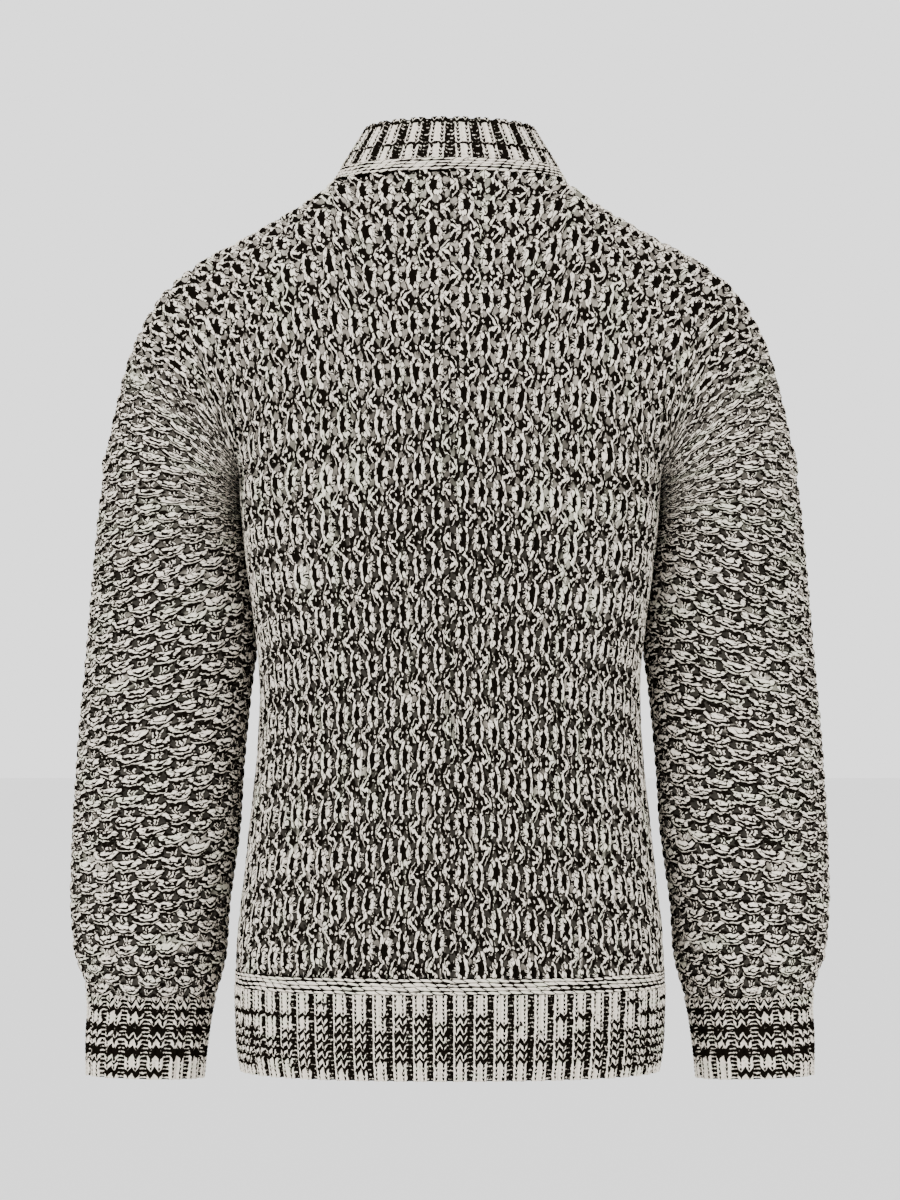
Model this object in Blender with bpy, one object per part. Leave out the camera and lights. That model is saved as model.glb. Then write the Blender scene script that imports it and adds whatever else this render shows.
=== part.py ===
"""A chunky marled pullover with a ribbed stand collar, filled out as it is worn, with nobody in it.

Metres, +Z up. The back faces +Y and the wearer's left is +X. The origin is the centre of the neck,
level with the points where the shoulders meet the collar. Each half is knitted sideways, from the
cuff to the middle, so its ridges go round the sleeve, fan out over the shoulder and run down the
body. The halves, the stand collar, the hem rib and the cuffs are separate walls, a seam gap apart.
"""

import math

import bmesh
import bpy
import numpy as np

# ---- Driving dimensions ----
KNIT_WALL = 0.0040  # the tuck-stitch knit of body and sleeves
RIB_WALL = 0.0034  # the ribbing, between its ribs
RIB_RISE = 0.0018  # how far a rib stands over its recess
CHAIN_RISE = 0.0018  # how far a linked seam's cords stand out
SEAM_GAP = 0.0003

ARMPIT_Z = -0.222
CREASE_TOP_Z = -0.110  # where the fold between back and sleeve starts to sink in
CREASE_X = 0.1575
CREASE_FADE = 0.050  # how far to each side the fold is felt
CREASE_SOFTNESS = 0.2  # how much of the body's and the sleeve's own roundness it flattens
HEM_SEAM_Z = -0.5910
HEM_RIB_Z = -0.6030
HEM_EDGE_Z = -0.6660

NECK_BACK_Z = 0.0010
NECK_SIDE_Z = -0.0015
NECK_FRONT_Z = -0.0260
NECK_CHAIN_HEIGHT = 0.0095
COLLAR_TOP_BACK_Z = 0.0415
COLLAR_TOP_FRONT_Z = 0.0330
COLLAR_TOP_HALF_WIDTH = 0.0610
COLLAR_TOP_BACK = 0.0560
COLLAR_TOP_FRONT = 0.0590

COLLAR_RIBS = 24
HEM_RIBS = 60
CUFF_RIBS = 16

YARN_COLOUR = (0.235, 0.215, 0.190, 1.0)  # cream and black marl, seen from far
RIB_COLOUR = (0.265, 0.245, 0.215, 1.0)
YARN_ROUGHNESS = 0.95

EVEN_Z = -0.56  # the height whose oval the body's columns divide evenly
FINE_STEPS = 4000  # along a curve that is measured
STEP = 1e-4  # between two places that give a wall's direction
SHARP_ANGLE = math.radians(50)


def table(names, *rows):
    """The columns of a short table, by name."""
    return {name: np.array(column) for name, column in zip(names.split(), zip(*rows))}


# Body at each height. reach is half the width over both sleeves, half is half the body alone,
# back and front are how far it stands from its widest line, and full is the oval's exponent.
BODY = table(
    "z       reach   half    back    front   middle  full",
    (-0.6660, 0.1545, 0.1545, 0.1080, 0.1100, 0.003, 2.35),
    (-0.6520, 0.1568, 0.1568, 0.1092, 0.1118, 0.003, 2.35),
    (-0.6250, 0.1582, 0.1582, 0.1105, 0.1135, 0.003, 2.35),
    (-0.5980, 0.1588, 0.1588, 0.1110, 0.1140, 0.003, 2.35),
    (-0.5600, 0.1572, 0.1572, 0.1104, 0.1140, 0.004, 2.35),
    (-0.5280, 0.1534, 0.1534, 0.1095, 0.1136, 0.004, 2.35),
    (-0.4920, 0.1496, 0.1496, 0.1085, 0.1130, 0.005, 2.35),
    (-0.4290, 0.1430, 0.1430, 0.1075, 0.1125, 0.006, 2.38),
    (-0.3750, 0.1410, 0.1410, 0.1080, 0.1140, 0.007, 2.45),
    (-0.3300, 0.1452, 0.1452, 0.1108, 0.1172, 0.005, 2.60),
    (-0.2850, 0.1510, 0.1510, 0.1132, 0.1194, 0.002, 2.80),
    (-0.2220, 0.2580, 0.1560, 0.1150, 0.1205, 0.000, 2.95),
    (-0.1950, 0.2535, 0.1560, 0.1150, 0.1200, 0.000, 2.85),
    (-0.1680, 0.2478, 0.1560, 0.1145, 0.1185, 0.000, 2.60),
    (-0.1410, 0.2412, 0.1560, 0.1130, 0.1160, 0.000, 2.30),
    (-0.1140, 0.2308, 0.1560, 0.1110, 0.1125, 0.000, 2.08),
    (-0.0960, 0.2210, 0.1560, 0.1090, 0.1085, 0.000, 1.95),
    (-0.0780, 0.2060, 0.1560, 0.1060, 0.1030, 0.000, 1.85),
    (-0.0600, 0.1812, 0.1560, 0.1020, 0.0955, 0.000, 1.80),
    (-0.0510, 0.1645, 0.1560, 0.0995, 0.0910, 0.000, 1.80),
    (-0.0420, 0.1475, 0.1560, 0.0965, 0.0860, 0.000, 1.82),
    (-0.0330, 0.1320, 0.1560, 0.0930, 0.0805, 0.000, 1.86),
    (-0.0240, 0.1165, 0.1560, 0.0890, 0.0745, 0.000, 1.90),
    (-0.0150, 0.1025, 0.1560, 0.0850, 0.0685, 0.000, 1.95),
    (-0.0060, 0.0910, 0.1560, 0.0800, 0.0625, 0.000, 2.00),
    (+0.0030, 0.0808, 0.1560, 0.0755, 0.0570, 0.000, 2.00),
    (+0.0120, 0.0745, 0.1560, 0.0710, 0.0520, 0.000, 2.00),
)

# Sleeve at each height: its inner and outer edge, half its depth, and how far its middle is back.
SLEEVE = table(
    "z       inner   outer   depth   middle  full",
    (-0.6765, 0.1885, 0.2738, 0.0330, -0.046, 2.00),
    (-0.6450, 0.1850, 0.2738, 0.0325, -0.043, 2.00),
    (-0.6180, 0.1802, 0.2726, 0.0345, -0.039, 2.00),
    (-0.6000, 0.1748, 0.2757, 0.0440, -0.035, 2.05),
    (-0.5820, 0.1704, 0.2818, 0.0525, -0.031, 2.10),
    (-0.5640, 0.1690, 0.2835, 0.0560, -0.028, 2.15),
    (-0.5460, 0.1678, 0.2845, 0.0575, -0.025, 2.15),
    (-0.5190, 0.1640, 0.2840, 0.0588, -0.021, 2.15),
    (-0.4830, 0.1592, 0.2825, 0.0602, -0.018, 2.15),
    (-0.4470, 0.1570, 0.2802, 0.0615, -0.017, 2.15),
    (-0.4110, 0.1540, 0.2778, 0.0625, -0.019, 2.15),
    (-0.3750, 0.1502, 0.2745, 0.0635, -0.022, 2.15),
    (-0.3450, 0.1464, 0.2720, 0.0645, -0.024, 2.15),
    (-0.3150, 0.1482, 0.2695, 0.0655, -0.024, 2.15),
    (-0.2850, 0.1522, 0.2665, 0.0670, -0.020, 2.15),
    (-0.2500, 0.1563, 0.2625, 0.0690, -0.010, 2.15),
    (-0.2220, 0.1560, 0.2580, 0.0710, 0.0000, 2.15),
)

# The sleeve's rings, from the shoulder seam down: the height of each one's outer and inner end.
RINGS = table(
    "outer   inner",
    (-0.0870, -0.2220),
    (-0.1200, -0.2290),
    (-0.1580, -0.2380),
    (-0.1970, -0.2480),
    (-0.2280, -0.2590),
    (-0.2570, -0.2740),
    (-0.2950, -0.3050),
    (-0.3450, -0.3510),
    (-0.4200, -0.4260),
    (-0.5000, -0.5050),
    (-0.5700, -0.5740),
    (-0.6120, -0.6150),
)
CUFF_TOP = (-0.6120, -0.6150)  # height of its outer and inner end
CUFF_EDGE = (-0.6745, -0.6765)

# One rib with the recess beside it: two wales with a shallow dip between them.
RIB = table(
    "place  rise",
    (0.00, 0.00),
    (0.20, 1.00),
    (0.50, 0.72),
    (0.80, 1.00),
)

# A linked seam from its upper to its lower edge: two cords, each standing out.
CHAIN = table(
    "place  rise",
    (0.00, 0.10),
    (0.26, 1.00),
    (0.50, 0.35),
    (0.74, 1.00),
    (1.00, 0.10),
)

NECK_COLUMNS = 6  # of a half's back or front, from the centre line to the neck point
SHOULDER_COLUMNS = 7
BODY_ROWS = 8
YOKE_ROWS = 12
SLEEVE_ROWS = 17
COLLAR_ROWS = 3
HEM_ROWS = 2
CUFF_ROWS = 3


# ---- The shape of the garment ----
def smooth(at, places, values):
    """Reads a table's column along a smooth curve through its rows, in order of place."""
    slopes = np.gradient(values, places)
    at = np.clip(at, places[0], places[-1])
    row = np.clip(np.searchsorted(places, at) - 1, 0, len(places) - 2)
    step = places[row + 1] - places[row]
    t = (at - places[row]) / step
    start = (1 + 2 * t) * (1 - t) ** 2 * values[row] + t * (1 - t) ** 2 * step * slopes[row]
    end = t**2 * (3 - 2 * t) * values[row + 1] - t**2 * (1 - t) * step * slopes[row + 1]
    return start + end


def ease(share):
    """From 0 to 1, starting and ending gently."""
    share = np.clip(share, 0, 1)
    return share**2 * (3 - 2 * share)


def body_at(z, name):
    return smooth(z, BODY["z"], BODY[name])


def sleeve_at(z, name):
    return smooth(z, SLEEVE["z"], SLEEVE[name])


def body_oval(angle, z):
    """A point of the body's oval at a height, its angle from the centre back."""
    power = 2 / body_at(z, "full")
    depth = np.where(np.cos(angle) > 0, body_at(z, "back"), body_at(z, "front"))
    x = body_at(z, "half") * np.sign(np.sin(angle)) * np.abs(np.sin(angle)) ** power
    y = body_at(z, "middle") + depth * np.sign(np.cos(angle)) * np.abs(np.cos(angle)) ** power
    return x, y


def even_angles():
    """The angle of each of a round's even steps along the body's oval, from the centre back."""
    angle = np.linspace(0, 2 * math.pi, FINE_STEPS + 1)
    x, y = body_oval(angle, EVEN_Z)
    run = np.concatenate([[0], np.cumsum(np.hypot(np.diff(x), np.diff(y)))])
    return run / run[-1], angle


ROUND_SHARE, ROUND_ANGLE = even_angles()


def body_round(share, z):
    """A point of the body's oval at a height, share of the way round from the centre back."""
    return body_oval(np.interp(share, ROUND_SHARE, ROUND_ANGLE), z)


def crease(x, z):
    """How far the fold beside the sleeve has sunk in, from 0 at its top to 1 at the armpit. It
    sinks late in the fold itself, and evenly to both sides of it."""
    share = np.clip((z - ARMPIT_Z) / (CREASE_TOP_Z - ARMPIT_Z), 0, 1)
    aside = ease(np.abs(x - CREASE_X) / CREASE_FADE)
    return 1 - (1 - aside) * np.sin(math.pi / 2 * np.sqrt(share)) - aside * ease(share)


def oval_depth(offset, full, power):
    return np.clip(1 - np.abs(np.clip(offset, -1, 1)) ** full, 0, 1) ** power


def depth_at(x, z, side):
    """How far the back or the front stands out from the garment's middle line, at a place seen
    from behind. Over the armpit one oval holds body and sleeve, and the fold cuts into it."""
    stand = body_at(z, side)
    full = body_at(z, "full")
    whole = stand * oval_depth(x / body_at(z, "reach"), full, 1 / full)
    sunk = crease(x, z)
    soft = CREASE_SOFTNESS * (1 - sunk)
    below = np.minimum(z, ARMPIT_Z)
    inner = sleeve_at(below, "inner")
    outer = np.where(z > ARMPIT_Z, body_at(z, "reach"), sleeve_at(z, "outer"))
    body = stand * oval_depth(x / body_at(ARMPIT_Z, "half"), full, 1 / full + soft)
    across = (2 * x - inner - outer) / (outer - inner)
    curve = sleeve_at(below, "full")
    sleeve = sleeve_at(below, "depth") * oval_depth(across, curve, 1 / curve + soft * (across < 0))
    return (1 - sunk) * whole + sunk * np.where(x < inner, body, sleeve)


def shoulder_z(x):
    """Height of the shoulder's outline at a distance from the centre line."""
    z = np.linspace(ARMPIT_Z, BODY["z"][-1], FINE_STEPS + 1)
    return np.interp(x, body_at(z, "reach")[::-1], z[::-1])


def neck_z(x, side):
    """Height of the collar seam at a distance from the centre line."""
    middle = NECK_BACK_Z if side == "back" else NECK_FRONT_Z
    share = np.clip(x / NECK_HALF_WIDTH, 0, 1) ** 2
    return middle + (NECK_SIDE_Z - middle) * share


NECK_HALF_WIDTH = float(body_at(NECK_SIDE_Z, "reach"))
SHOULDER_SEAM_X = float(body_at(RINGS["outer"][0], "reach"))


def panel_point(u, v, side):
    """A point of a half's back or front. u runs from the centre line to the side and the sleeve,
    and v up from the hem seam: 0 to 1 below the armpit, and 1 to 2 over it."""
    share = u / 4 if side == "back" else 0.5 - u / 4
    low = HEM_SEAM_Z + (ARMPIT_Z - HEM_SEAM_Z) * np.clip(v, 0, 1)
    x, y = body_round(share, low)
    top_x = u * SHOULDER_SEAM_X
    top_z = np.where(top_x < NECK_HALF_WIDTH, neck_z(top_x, side), shoulder_z(top_x))
    climb = (1 - np.cos(math.pi * np.clip(v - 1, 0, 1))) / 2
    high_x = x + (top_x - x) * climb
    high_z = ARMPIT_Z + (top_z - ARMPIT_Z) * climb
    high_y = depth_at(high_x, high_z, side) * (1 if side == "back" else -1)
    high = np.stack([high_x, high_y, high_z], -1)
    return np.where((v > 1)[..., None], high, np.stack([x, y, low], -1))


def ring_point(outer_z, inner_z, around):
    """A point of a sleeve's ring, around from its inner edge by way of the back."""
    angle = 2 * math.pi * around
    inner_x = sleeve_at(inner_z, "inner")
    outer_x = np.where(outer_z > ARMPIT_Z, body_at(outer_z, "reach"), sleeve_at(outer_z, "outer"))
    across = (1 - np.cos(angle)) / 2
    x = inner_x + (outer_x - inner_x) * across
    z = inner_z + (outer_z - inner_z) * across
    back = np.sin(angle) >= 0
    depth = np.where(back, depth_at(x, z, "back"), depth_at(x, z, "front"))
    middle = sleeve_at(np.minimum(z, ARMPIT_Z), "middle")
    return np.stack([x, middle + np.where(back, depth, -depth), z], -1)


def sleeve_point(along, around):
    """A point of the sleeve, along from the shoulder seam (0) to the cuff seam (1)."""
    rows = np.linspace(0, 1, len(RINGS["outer"]))
    return ring_point(smooth(along, rows, RINGS["outer"]), smooth(along, rows, RINGS["inner"]), around)


def cuff_point(along, around):
    outer_z = CUFF_TOP[0] + (CUFF_EDGE[0] - CUFF_TOP[0]) * along
    inner_z = CUFF_TOP[1] + (CUFF_EDGE[1] - CUFF_TOP[1]) * along
    return ring_point(outer_z, inner_z, around)


def hem_point(along, around):
    """A point of the hem band, down from the hem seam (0) to the hem's edge (1)."""
    z = HEM_SEAM_Z + (HEM_EDGE_Z - HEM_SEAM_Z) * along
    x, y = body_round(around, z)
    return np.stack([x, y, z + 0 * around], -1)


def neck_point(around):
    """A point of the collar seam, around from the centre back by way of the wearer's left."""
    angle = 2 * math.pi * around
    x = NECK_HALF_WIDTH * np.sin(angle)
    back = np.cos(angle) >= 0
    z = np.where(back, neck_z(np.abs(x), "back"), neck_z(np.abs(x), "front"))
    y = np.where(back, depth_at(np.abs(x), z, "back"), -depth_at(np.abs(x), z, "front"))
    return np.stack([x, y, z], -1)


def collar_point(along, around):
    """A point of the stand collar, up from the collar seam (0) to its edge (1)."""
    angle = 2 * math.pi * around
    stand = np.where(np.cos(angle) >= 0, COLLAR_TOP_BACK, COLLAR_TOP_FRONT)
    level = (1 + np.cos(angle)) / 2
    top_z = COLLAR_TOP_FRONT_Z + (COLLAR_TOP_BACK_Z - COLLAR_TOP_FRONT_Z) * level
    top = np.stack([COLLAR_TOP_HALF_WIDTH * np.sin(angle), stand * np.cos(angle), top_z], -1)
    return neck_point(around) + (top - neck_point(around)) * np.asarray(along)[..., None]


# ---- Walls ----
def unit(vectors):
    return vectors / np.linalg.norm(vectors, axis=-1, keepdims=True)


def change(point, first, second, limits):
    """How a wall's point moves as its first place goes up, kept within the limits."""
    low, high = np.clip(first - STEP, *limits), np.clip(first + STEP, *limits)
    return point(high, second) - point(low, second)


def outward(point, along, around):
    """Which way is out of a round, where along goes down it and around it is clockwise from above."""
    lap = point(along, around + STEP) - point(along, around - STEP)
    return unit(np.cross(lap, change(point, along, around, (0, 1))))


def wall(name, outer, inner, ring, colour):
    """A closed wall between two grids of points, rows by columns: a tube, or else a panel."""
    rows, columns = outer.shape[:2]
    bm = bmesh.new()
    out = [[bm.verts.new(place) for place in row] for row in outer]
    back = [[bm.verts.new(place) for place in row] for row in inner]
    pairs = [(j, (j + 1) % columns) for j in range(columns if ring else columns - 1)]
    for i in range(rows - 1):
        for j, k in pairs:
            bm.faces.new((out[i][j], out[i][k], out[i + 1][k], out[i + 1][j]))
            bm.faces.new((back[i][k], back[i][j], back[i + 1][j], back[i + 1][k]))
    for j, k in pairs:
        bm.faces.new((out[0][k], out[0][j], back[0][j], back[0][k]))
        bm.faces.new((out[-1][j], out[-1][k], back[-1][k], back[-1][j]))
    if not ring:
        for i in range(rows - 1):
            bm.faces.new((out[i][0], out[i + 1][0], back[i + 1][0], back[i][0]))
            bm.faces.new((out[i + 1][-1], out[i][-1], back[i][-1], back[i + 1][-1]))
    bmesh.ops.recalc_face_normals(bm, faces=bm.faces)
    mesh = bpy.data.meshes.new(name)
    bm.to_mesh(mesh)
    bm.free()
    mesh.shade_smooth()
    mesh.set_sharp_from_angle(angle=SHARP_ANGLE)
    mesh.materials.append(yarn(name, colour))
    piece = bpy.data.objects.new(name, mesh)
    bpy.context.collection.objects.link(piece)
    return piece


def yarn(name, colour):
    material = bpy.data.materials.new(name)
    material.use_nodes = True
    shader = material.node_tree.nodes["Principled BSDF"]
    shader.inputs["Base Color"].default_value = colour
    shader.inputs["Roughness"].default_value = YARN_ROUGHNESS
    shader.inputs["Metallic"].default_value = 0.0
    return material


def pair(name, outer, inner, colour, ring=False):
    """The wearer's left piece, and the right one as its mirror image."""
    mirror = np.array([-1, 1, 1])
    wall(name + "_left", outer, inner, ring, colour)
    wall(name + "_right", outer * mirror, inner * mirror, ring, colour)


def panel_places():
    """Where a back's or front's columns and rows are. A column meets the neck point, and the rows
    over the armpit match the sleeve's columns along the seam between them."""
    neck_u = NECK_HALF_WIDTH / SHOULDER_SEAM_X
    neck = neck_u * np.sin(np.linspace(0, math.pi / 2, NECK_COLUMNS + 1))
    u = np.concatenate([neck, np.linspace(neck_u, 1, SHOULDER_COLUMNS + 1)[1:]])
    v = np.concatenate([np.linspace(0, 1, BODY_ROWS + 1), 1 + np.linspace(0, 1, YOKE_ROWS + 1)[1:]])
    v[0] = SEAM_GAP / 2 / (ARMPIT_Z - HEM_SEAM_Z)
    return np.meshgrid(v[::-1], u, indexing="ij")


def panel(side, sign):
    """A half's back or front: its points, from the top row down, and which way is out."""
    down, across = panel_places()
    points = panel_point(across, down, side)
    rise = change(lambda v, u: panel_point(u, v, side), down, across, (0, 2))
    beside = change(lambda u, v: panel_point(u, v, side), across, down, (0, 1))
    out = sign * unit(np.cross(rise, beside))
    shoulder = np.gradient(points[0, NECK_COLUMNS:], axis=0)
    out[0, NECK_COLUMNS:] = unit(np.cross(shoulder, [0, 1, 0]))
    return points, out


def halves():
    """Back and front of each half's body and sleeve. Along the seam between them, the walls' edges
    lie in the plane of the sleeve's first ring."""
    along, around = np.meshgrid(
        np.linspace(0, 1, SLEEVE_ROWS + 1), np.linspace(0, 1, 2 * YOKE_ROWS + 1), indexing="ij"
    )
    sleeve_out = outward(sleeve_point, along, around)
    seam = sleeve_point(0, 0.5) - sleeve_point(0, 0)
    down_sleeve = unit(np.array([seam[2], 0, -seam[0]]))
    lap = sleeve_point(0, around[0] + STEP) - sleeve_point(0, around[0] - STEP)
    sleeve_out[0] = unit(np.cross(lap, down_sleeve))
    sleeve = sleeve_point(along, around) + SEAM_GAP * down_sleeve
    for side, sign, half in (
        ("back", 1, slice(0, YOKE_ROWS + 1)),
        ("front", -1, slice(YOKE_ROWS, None)),
    ):
        points, out = panel(side, sign)
        out[: YOKE_ROWS + 1, -1] = sleeve_out[0, half][::-sign]
        points = points + np.array([SEAM_GAP / 2, sign * SEAM_GAP / 2, 0])
        pair(side, points, points - KNIT_WALL * out, YARN_COLOUR)
        points = sleeve[:, half] + np.array([0, sign * SEAM_GAP / 2, 0])
        pair("sleeve_" + side, points, points - KNIT_WALL * sleeve_out[:, half], YARN_COLOUR)


def ribbed(count):
    """Where each column of a ribbed round is, and how far it stands out."""
    rib = np.arange(count)[:, None]
    return ((rib + RIB["place"]) / count).ravel(), np.tile(RIB["rise"], count) * RIB_RISE


def rib_wall(point, start, end, rows, count, turn=1):
    """Outer and inner points of a ribbed round between two places along it."""
    place, rise = ribbed(count)
    along, around = np.meshgrid(np.linspace(start, end, rows + 1), place, indexing="ij")
    points = point(along, around)
    out = turn * outward(point, along, around)
    return points + rise[None, :, None] * out, points - RIB_WALL * out


def chain_wall(point, start, end, columns):
    """Outer and inner points of a linked seam between two places along a round."""
    places = start + (end - start) * CHAIN["place"]
    along, around = np.meshgrid(places, np.arange(columns) / columns, indexing="ij")
    points = point(along, around)
    out = outward(point, along, around)
    return points + CHAIN_RISE * CHAIN["rise"][:, None, None] * out, points - RIB_WALL * out


def bands():
    """The hem and its linked seam, the cuffs, and the stand collar with its own."""
    height = HEM_SEAM_Z - HEM_EDGE_Z
    gap = SEAM_GAP / height
    seam = (HEM_SEAM_Z - HEM_RIB_Z) / height
    wall("hem_chain", *chain_wall(hem_point, gap / 2, seam - gap / 2, HEM_RIBS), True, YARN_COLOUR)
    wall("hem_rib", *rib_wall(hem_point, seam + gap / 2, 1, HEM_ROWS, HEM_RIBS), True, RIB_COLOUR)
    cuff_gap = 2 * SEAM_GAP / (CUFF_TOP[0] - CUFF_EDGE[0])
    pair("cuff", *rib_wall(cuff_point, cuff_gap, 1, CUFF_ROWS, CUFF_RIBS), RIB_COLOUR, True)
    rise = COLLAR_TOP_BACK_Z - NECK_BACK_Z
    gap = SEAM_GAP / rise
    seam = NECK_CHAIN_HEIGHT / rise
    cords = chain_wall(collar_point, seam - gap / 2, gap, 2 * COLLAR_RIBS)
    wall("neck_chain", *cords, True, YARN_COLOUR)
    ribs = rib_wall(collar_point, seam + gap / 2, 1, COLLAR_ROWS, COLLAR_RIBS, -1)
    wall("collar", *ribs, True, RIB_COLOUR)


def main():
    for piece in list(bpy.data.objects):
        bpy.data.objects.remove(piece)
    halves()
    bands()


main()
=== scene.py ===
import math

import bpy
import numpy as np
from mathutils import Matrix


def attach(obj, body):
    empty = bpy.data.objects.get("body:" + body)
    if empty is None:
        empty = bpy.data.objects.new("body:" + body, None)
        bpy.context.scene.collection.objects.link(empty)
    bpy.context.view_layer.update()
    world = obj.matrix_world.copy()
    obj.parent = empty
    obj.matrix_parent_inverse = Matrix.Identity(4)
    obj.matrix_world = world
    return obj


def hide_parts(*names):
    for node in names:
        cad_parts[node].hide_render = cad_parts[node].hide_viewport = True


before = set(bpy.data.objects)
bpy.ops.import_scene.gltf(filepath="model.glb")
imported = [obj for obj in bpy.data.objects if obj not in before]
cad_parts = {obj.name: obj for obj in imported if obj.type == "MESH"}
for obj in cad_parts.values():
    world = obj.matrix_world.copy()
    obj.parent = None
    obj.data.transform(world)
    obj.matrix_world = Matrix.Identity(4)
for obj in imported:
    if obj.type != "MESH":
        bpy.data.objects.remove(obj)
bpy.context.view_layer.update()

# the garment's form, in metres: the back faces +Y and the wearer's left is +X
form = {
    "armpitZ": -0.222,
    "creaseTopZ": -0.110,
    "creaseX": 0.1575,
    "creaseFade": 0.050,
    "creaseSoftness": 0.2,
    "hemSeamZ": -0.5910,
    "hemRibZ": -0.6030,
    "hemEdgeZ": -0.6660,
    "neckBackZ": 0.0010,
    "neckSideZ": -0.0015,
    "neckFrontZ": -0.0260,
    "neckChainHeight": 0.0095,
    "collarTopBackZ": 0.0415,
    "collarTopFrontZ": 0.0330,
    "collarTopHalfWidth": 0.0610,
    "collarTopBack": 0.0560,
    "collarTopFront": 0.0590,
    "evenZ": -0.56,
}


def table(names, *rows):
    return {name: np.array(column) for name, column in zip(names.split(), zip(*rows))}


# reach is half the width over both sleeves, half is half the body alone, and full is the oval's exponent
bodyTable = table(
    "z reach half back front middle full",
    (-0.6660, 0.1545, 0.1545, 0.1080, 0.1100, 0.003, 2.35),
    (-0.6520, 0.1568, 0.1568, 0.1092, 0.1118, 0.003, 2.35),
    (-0.6250, 0.1582, 0.1582, 0.1105, 0.1135, 0.003, 2.35),
    (-0.5980, 0.1588, 0.1588, 0.1110, 0.1140, 0.003, 2.35),
    (-0.5600, 0.1572, 0.1572, 0.1104, 0.1140, 0.004, 2.35),
    (-0.5280, 0.1534, 0.1534, 0.1095, 0.1136, 0.004, 2.35),
    (-0.4920, 0.1496, 0.1496, 0.1085, 0.1130, 0.005, 2.35),
    (-0.4290, 0.1430, 0.1430, 0.1075, 0.1125, 0.006, 2.38),
    (-0.3750, 0.1410, 0.1410, 0.1080, 0.1140, 0.007, 2.45),
    (-0.3300, 0.1452, 0.1452, 0.1108, 0.1172, 0.005, 2.60),
    (-0.2850, 0.1510, 0.1510, 0.1132, 0.1194, 0.002, 2.80),
    (-0.2220, 0.2580, 0.1560, 0.1150, 0.1205, 0.000, 2.95),
    (-0.1950, 0.2535, 0.1560, 0.1150, 0.1200, 0.000, 2.85),
    (-0.1680, 0.2478, 0.1560, 0.1145, 0.1185, 0.000, 2.60),
    (-0.1410, 0.2412, 0.1560, 0.1130, 0.1160, 0.000, 2.30),
    (-0.1140, 0.2308, 0.1560, 0.1110, 0.1125, 0.000, 2.08),
    (-0.0960, 0.2210, 0.1560, 0.1090, 0.1085, 0.000, 1.95),
    (-0.0780, 0.2060, 0.1560, 0.1060, 0.1030, 0.000, 1.85),
    (-0.0600, 0.1812, 0.1560, 0.1020, 0.0955, 0.000, 1.80),
    (-0.0510, 0.1645, 0.1560, 0.0995, 0.0910, 0.000, 1.80),
    (-0.0420, 0.1475, 0.1560, 0.0965, 0.0860, 0.000, 1.82),
    (-0.0330, 0.1320, 0.1560, 0.0930, 0.0805, 0.000, 1.86),
    (-0.0240, 0.1165, 0.1560, 0.0890, 0.0745, 0.000, 1.90),
    (-0.0150, 0.1025, 0.1560, 0.0850, 0.0685, 0.000, 1.95),
    (-0.0060, 0.0910, 0.1560, 0.0800, 0.0625, 0.000, 2.00),
    (+0.0030, 0.0808, 0.1560, 0.0755, 0.0570, 0.000, 2.00),
    (+0.0120, 0.0745, 0.1560, 0.0710, 0.0520, 0.000, 2.00),
)

# the sleeve's inner and outer edge, half its depth, and how far its middle is back
sleeveTable = table(
    "z inner outer depth middle full",
    (-0.6765, 0.1885, 0.2738, 0.0330, -0.046, 2.00),
    (-0.6450, 0.1850, 0.2738, 0.0325, -0.043, 2.00),
    (-0.6180, 0.1802, 0.2726, 0.0345, -0.039, 2.00),
    (-0.6000, 0.1748, 0.2757, 0.0440, -0.035, 2.05),
    (-0.5820, 0.1704, 0.2818, 0.0525, -0.031, 2.10),
    (-0.5640, 0.1690, 0.2835, 0.0560, -0.028, 2.15),
    (-0.5460, 0.1678, 0.2845, 0.0575, -0.025, 2.15),
    (-0.5190, 0.1640, 0.2840, 0.0588, -0.021, 2.15),
    (-0.4830, 0.1592, 0.2825, 0.0602, -0.018, 2.15),
    (-0.4470, 0.1570, 0.2802, 0.0615, -0.017, 2.15),
    (-0.4110, 0.1540, 0.2778, 0.0625, -0.019, 2.15),
    (-0.3750, 0.1502, 0.2745, 0.0635, -0.022, 2.15),
    (-0.3450, 0.1464, 0.2720, 0.0645, -0.024, 2.15),
    (-0.3150, 0.1482, 0.2695, 0.0655, -0.024, 2.15),
    (-0.2850, 0.1522, 0.2665, 0.0670, -0.020, 2.15),
    (-0.2500, 0.1563, 0.2625, 0.0690, -0.010, 2.15),
    (-0.2220, 0.1560, 0.2580, 0.0710, 0.0000, 2.15),
)

# height of the outer and the inner end of the sleeve's rings, from the armhole line down
ringTable = table(
    "outer inner",
    (-0.0870, -0.2220),
    (-0.1200, -0.2290),
    (-0.1580, -0.2380),
    (-0.1970, -0.2480),
    (-0.2280, -0.2590),
    (-0.2570, -0.2740),
    (-0.2950, -0.3050),
    (-0.3450, -0.3510),
    (-0.4200, -0.4260),
    (-0.5000, -0.5050),
    (-0.5700, -0.5740),
    (-0.6120, -0.6150),
)
cuffTop = (-0.6120, -0.6150)
cuffEdge = (-0.6745, -0.6765)
fineSteps = 4000


def smoothAt(at, places, values):
    slopes = np.gradient(values, places)
    at = np.clip(at, places[0], places[-1])
    row = np.clip(np.searchsorted(places, at) - 1, 0, len(places) - 2)
    step = places[row + 1] - places[row]
    t = (at - places[row]) / step
    start = (1 + 2 * t) * (1 - t) ** 2 * values[row] + t * (1 - t) ** 2 * step * slopes[row]
    end = t**2 * (3 - 2 * t) * values[row + 1] - t**2 * (1 - t) * step * slopes[row + 1]
    return start + end


def ease(share):
    share = np.clip(share, 0, 1)
    return share**2 * (3 - 2 * share)


def bodyAt(z, name):
    return smoothAt(z, bodyTable["z"], bodyTable[name])


def sleeveAt(z, name):
    return smoothAt(z, sleeveTable["z"], sleeveTable[name])


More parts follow.
